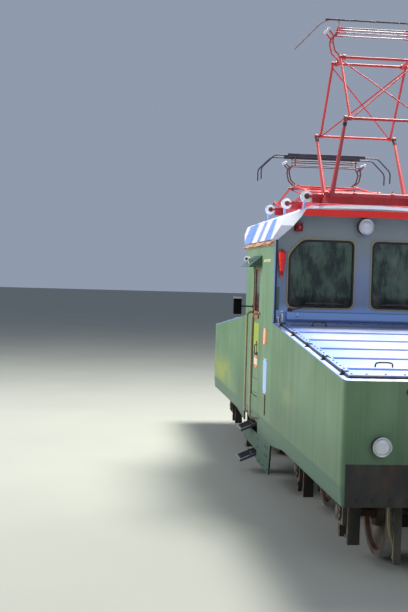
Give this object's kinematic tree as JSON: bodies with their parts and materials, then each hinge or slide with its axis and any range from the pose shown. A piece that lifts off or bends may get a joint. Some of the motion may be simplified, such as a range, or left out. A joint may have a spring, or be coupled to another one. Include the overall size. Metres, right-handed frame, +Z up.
{
  "type": "narrow-gauge electric locomotive",
  "caption": "Centre-cab electric locomotive for a narrow-gauge line, with two sloping hoods, outside-framed bogies, and one raised and one lowered roof pantograph.",
  "frame": {"origin": "middle of the locomotive's length and width, at the height of the wheels' flange tips", "axes": "+X forward along the rails, +Y the left side, +Z up"},
  "size_m": [10.18, 2.732, 5.7083],
  "materials": {
    "body_paint": "satin, faded and streaked",
    "cover_paint": "matt",
    "wall_paint": "matt",
    "roof_paint": "matt",
    "drip_rail_paint": "matt, rusty",
    "fascia_paint": "gloss",
    "tail_lamp_paint": "gloss",
    "flag_case_paint": "satin",
    "door_paint": "satin",
    "awning_paint": "satin",
    "handrail_paint": "worn",
    "tread_steel": "worn",
    "well_paint": "matt, dirty",
    "underframe_paint": "matt, dusty",
    "box_paint": "matt, dusty",
    "coupler_steel": "rough",
    "bogie_steel": "rough, dusty",
    "brake_steel": "rough",
    "motor_paint": "rough",
    "wheel_steel": "worn, rusty web",
    "window_rubber": "matt, aged",
    "window_glass": "clear",
    "mirror_shell": "matt",
    "headlamp_metal": "satin",
    "side_lamp_metal": "satin",
    "insulator_glaze": "gloss",
    "pan_base_paint": "matt, rusty",
    "pan_lower_paint": "satin, rusty",
    "pan_upper_paint": "satin, rusty",
    "pan_head_dark": "worn",
    "pan_head_worn": "worn",
    "floor_cover": "matt",
    "desk_paint": "satin",
    "seat_cover": "moulded shell, matt"
  },
  "bodies": {
    "body": {"air_tanks": "box_paint", "awnings": "awning_paint", "cab_floor": "floor_cover", "cab_roof": "roof_paint", "cab_side_left": "body_paint", "cab_side_right": "body_paint", "cab_wall_front": "wall_paint", "cab_wall_rear": "wall_paint", "control_desks": "desk_paint", "couplers": "coupler_steel", "drip_rails": "drip_rail_paint", "driver_seats": "seat_cover", "end_glass": "window_glass", "equipment_box": "box_paint", "flag_cases": "flag_case_paint", "handrails": "handrail_paint", "headlamps": "headlamp_metal", "hood_covers": "cover_paint", "hood_front": "body_paint", "hood_rear": "body_paint", "mirrors": "mirror_shell", "pantograph_base": "pan_base_paint", "roof_fascias": "fascia_paint", "roof_insulators": "insulator_glaze", "side_lamps": "side_lamp_metal", "step_treads": "tread_steel", "step_wells": "well_paint", "tail_lamps": "tail_lamp_paint", "underframe": "underframe_paint", "window_frames": "window_rubber"},
    "bogie_front": {"bogie_frame_front": "bogie_steel", "brake_gear_front": "brake_steel", "traction_motors_front": "motor_paint"},
    "bogie_rear": {"bogie_frame_rear": "bogie_steel", "brake_gear_rear": "brake_steel", "traction_motors_rear": "motor_paint"},
    "door_left": {"door_left": "door_paint", "door_glass_left": "window_glass"},
    "door_right": {"door_right": "door_paint", "door_glass_right": "window_glass"},
    "wheelset_front_outer": {"wheelset_front_outer": "wheel_steel"},
    "wheelset_front_inner": {"wheelset_front_inner": "wheel_steel"},
    "pan_front_lower_outer": {"pan_front_lower_outer": "pan_lower_paint"},
    "pan_front_upper_outer": {"pan_front_upper_outer": "pan_upper_paint"},
    "pan_front_head": {"pan_front_head": "pan_head_dark"},
    "pan_front_lower_inner": {"pan_front_lower_inner": "pan_lower_paint"},
    "pan_front_upper_inner": {"pan_front_upper_inner": "pan_upper_paint"},
    "wheelset_rear_outer": {"wheelset_rear_outer": "wheel_steel"},
    "wheelset_rear_inner": {"wheelset_rear_inner": "wheel_steel"},
    "pan_rear_lower_outer": {"pan_rear_lower_outer": "pan_lower_paint"},
    "pan_rear_upper_outer": {"pan_rear_upper_outer": "pan_upper_paint"},
    "pan_rear_head": {"pan_rear_head": "pan_head_worn"},
    "pan_rear_lower_inner": {"pan_rear_lower_inner": "pan_lower_paint"},
    "pan_rear_upper_inner": {"pan_rear_upper_inner": "pan_upper_paint"}
  },
  "joints": [
    {"name": "bogie_front_swivel", "type": "hinge", "parent": "body", "child": "bogie_front", "pos_m": [2.8, 0, 0.9], "axis": [0, 0, 1], "range_deg": [-5, 5]},
    {"name": "wheelset_front_outer_spin", "type": "hinge", "parent": "bogie_front", "child": "wheelset_front_outer", "pos_m": [3.8, 0, 0.453], "axis": [0, 1, 0], "continuous": true},
    {"name": "wheelset_front_inner_spin", "type": "hinge", "parent": "bogie_front", "child": "wheelset_front_inner", "pos_m": [1.8, 0, 0.453], "axis": [0, 1, 0], "continuous": true},
    {"name": "bogie_rear_swivel", "type": "hinge", "parent": "body", "child": "bogie_rear", "pos_m": [-2.8, 0, 0.9], "axis": [0, 0, 1], "range_deg": [-5, 5]},
    {"name": "wheelset_rear_outer_spin", "type": "hinge", "parent": "bogie_rear", "child": "wheelset_rear_outer", "pos_m": [-3.8, 0, 0.453], "axis": [0, 1, 0], "continuous": true},
    {"name": "wheelset_rear_inner_spin", "type": "hinge", "parent": "bogie_rear", "child": "wheelset_rear_inner", "pos_m": [-1.8, 0, 0.453], "axis": [0, 1, 0], "continuous": true},
    {"name": "door_left_hinge", "type": "hinge", "parent": "body", "child": "door_left", "pos_m": [0.418, 1.048, 1.9], "axis": [0, 0, 1], "range_deg": [0, 90]},
    {"name": "door_right_hinge", "type": "hinge", "parent": "body", "child": "door_right", "pos_m": [-0.418, -1.048, 1.9], "axis": [0, 0, 1], "range_deg": [0, 90]},
    {"name": "pan_front_raise", "type": "hinge", "parent": "body", "child": "pan_front_lower_outer", "pos_m": [1.44, 0, 3.628], "axis": [0, -1, 0], "range_deg": [0, 46]},
    {"name": "pan_front_knee_outer", "type": "hinge", "parent": "pan_front_lower_outer", "child": "pan_front_upper_outer", "pos_m": [2.403, 0, 3.78052], "axis": [0, 1, 0], "range_deg": [0, 92]},
    {"name": "pan_front_head_pivot", "type": "hinge", "parent": "pan_front_upper_outer", "child": "pan_front_head", "pos_m": [1.44, 0, 3.93305], "axis": [0, -1, 0], "range_deg": [0, 46]},
    {"name": "pan_front_raise_inner", "type": "hinge", "parent": "body", "child": "pan_front_lower_inner", "pos_m": [1.06, 0, 3.628], "axis": [0, 1, 0], "range_deg": [0, 46]},
    {"name": "pan_front_knee_inner", "type": "hinge", "parent": "pan_front_lower_inner", "child": "pan_front_upper_inner", "pos_m": [0.097, 0, 3.78052], "axis": [0, -1, 0], "range_deg": [0, 92]},
    {"name": "pan_rear_raise", "type": "hinge", "parent": "body", "child": "pan_rear_lower_outer", "pos_m": [-1.44, 0, 3.628], "axis": [0, 1, 0], "range_deg": [-46, 0]},
    {"name": "pan_rear_knee_outer", "type": "hinge", "parent": "pan_rear_lower_outer", "child": "pan_rear_upper_outer", "pos_m": [-1.99924, 0, 4.42667], "axis": [0, -1, 0], "range_deg": [-92, 0]},
    {"name": "pan_rear_head_pivot", "type": "hinge", "parent": "pan_rear_upper_outer", "child": "pan_rear_head", "pos_m": [-1.44, 0, 5.22535], "axis": [0, 1, 0], "range_deg": [-46, 0]},
    {"name": "pan_rear_raise_inner", "type": "hinge", "parent": "body", "child": "pan_rear_lower_inner", "pos_m": [-1.06, 0, 3.628], "axis": [0, -1, 0], "range_deg": [-46, 0]},
    {"name": "pan_rear_knee_inner", "type": "hinge", "parent": "pan_rear_lower_inner", "child": "pan_rear_upper_inner", "pos_m": [-0.50076, 0, 4.42667], "axis": [0, 1, 0], "range_deg": [-92, 0]}
  ],
  "couplings": [
    {"joint": "pan_front_knee_outer", "follows": "pan_front_raise", "ratio": 2},
    {"joint": "pan_front_head_pivot", "follows": "pan_front_raise", "ratio": 1},
    {"joint": "pan_front_raise_inner", "follows": "pan_front_raise", "ratio": 1},
    {"joint": "pan_front_knee_inner", "follows": "pan_front_raise", "ratio": 2},
    {"joint": "pan_rear_knee_outer", "follows": "pan_rear_raise", "ratio": 2},
    {"joint": "pan_rear_head_pivot", "follows": "pan_rear_raise", "ratio": 1},
    {"joint": "pan_rear_raise_inner", "follows": "pan_rear_raise", "ratio": 1},
    {"joint": "pan_rear_knee_inner", "follows": "pan_rear_raise", "ratio": 2}
  ]
}
